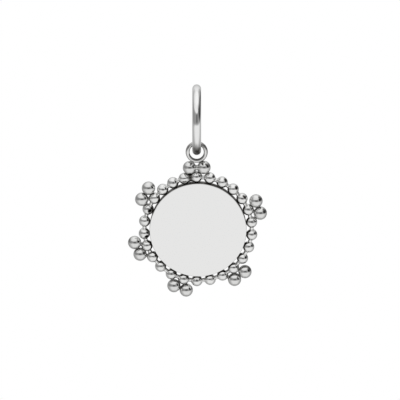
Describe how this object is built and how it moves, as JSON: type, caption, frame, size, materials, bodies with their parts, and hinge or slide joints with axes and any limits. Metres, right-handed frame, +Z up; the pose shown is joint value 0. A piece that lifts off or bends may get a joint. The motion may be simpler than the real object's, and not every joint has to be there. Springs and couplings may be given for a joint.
{
  "type": "coin charm",
  "caption": "Hanging coin charm: a plain polished round plate in a beaded wire border with pairs of balls, linked by a soldered eye to a round wire bail.",
  "frame": {"origin": "the inside top of the bail, where the chain bears and the charm hangs from it", "axes": "+Z up as the charm hangs, -Y out of the coin's face towards the viewer, +X to the viewer's right and along the chain"},
  "size_m": [0.0156, 0.0078, 0.0245],
  "materials": {
    "coin_silver": "polished silver",
    "bail_silver": "polished silver"
  },
  "bodies": {
    "bail": {"bail": "bail_silver"},
    "coin": {"coin": "coin_silver"}
  },
  "joints": [
    {"name": "coin_swing", "type": "hinge", "parent": "bail", "child": "coin", "pos_m": [0, 0, -0.00663], "axis": [0, 1, 0], "range_deg": [-126, 116]}
  ]
}
